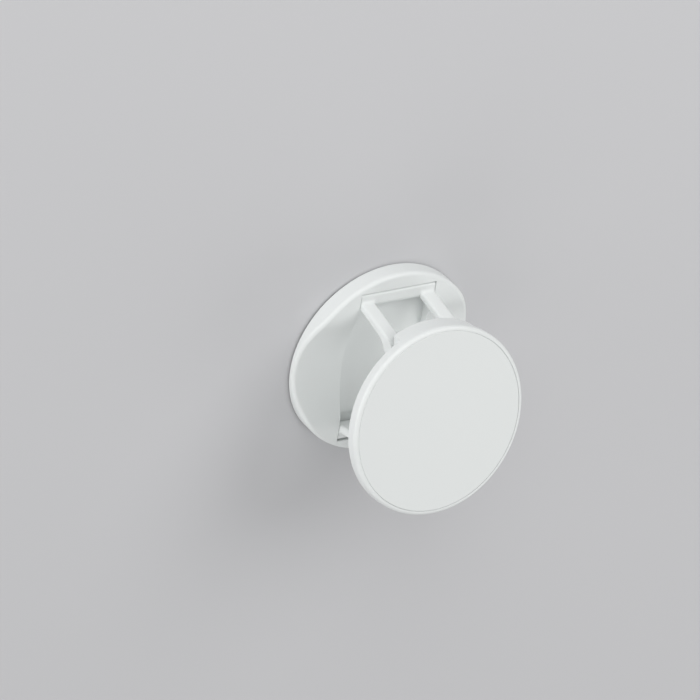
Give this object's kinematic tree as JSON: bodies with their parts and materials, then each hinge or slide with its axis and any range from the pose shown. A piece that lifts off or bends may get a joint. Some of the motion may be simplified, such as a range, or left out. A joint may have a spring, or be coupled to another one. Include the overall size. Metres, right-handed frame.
{
  "type": "phone holder",
  "caption": "Round stick-on phone grip and stand: a scooped base with folding link arms that carry a tilting front disc with an inset cover.",
  "frame": {"origin": "middle of the adhesive face under the base", "axes": "+Z out of the base towards the disc, +Y towards the upper link, +X along the hinge axes"},
  "size_m": [0.044, 0.046, 0.0303],
  "materials": {
    "shell": "satin moulded ABS",
    "links": "satin moulded ABS",
    "cover": "fine matt moulded ABS",
    "foam_tape": "closed-cell foam tape"
  },
  "bodies": {
    "base": {"base_body": "shell", "adhesive_pad": "foam_tape"},
    "upper_link": {"upper_link": "links"},
    "lower_link": {"lower_link": "links"},
    "slide_shoe": {"slide_shoe": "links"},
    "disc": {"disc_body": "shell", "face_cover": "cover"}
  },
  "joints": [
    {"name": "upper_fold", "type": "hinge", "parent": "base", "child": "upper_link", "pos_m": [0, 0.0166, 0.0028], "axis": [1, 0, 0], "range_deg": [0, 70]},
    {"name": "lower_fold", "type": "hinge", "parent": "base", "child": "lower_link", "pos_m": [0, -0.0166, 0.0028], "axis": [1, 0, 0], "range_deg": [-70, 0]},
    {"name": "shoe_tilt", "type": "hinge", "parent": "upper_link", "child": "slide_shoe", "pos_m": [0, 0.01228, 0.016], "axis": [1, 0, 0], "range_deg": [-59, 0]},
    {"name": "disc_slide", "type": "slide", "parent": "slide_shoe", "child": "disc", "axis": [0, 0.9816, -0.1908], "range_m": [0, 0.0132]}
  ],
  "couplings": [
    {"joint": "lower_fold", "follows": "upper_fold", "ratio": -1},
    {"joint": "shoe_tilt", "follows": "upper_fold", "ratio": -0.84286}
  ]
}
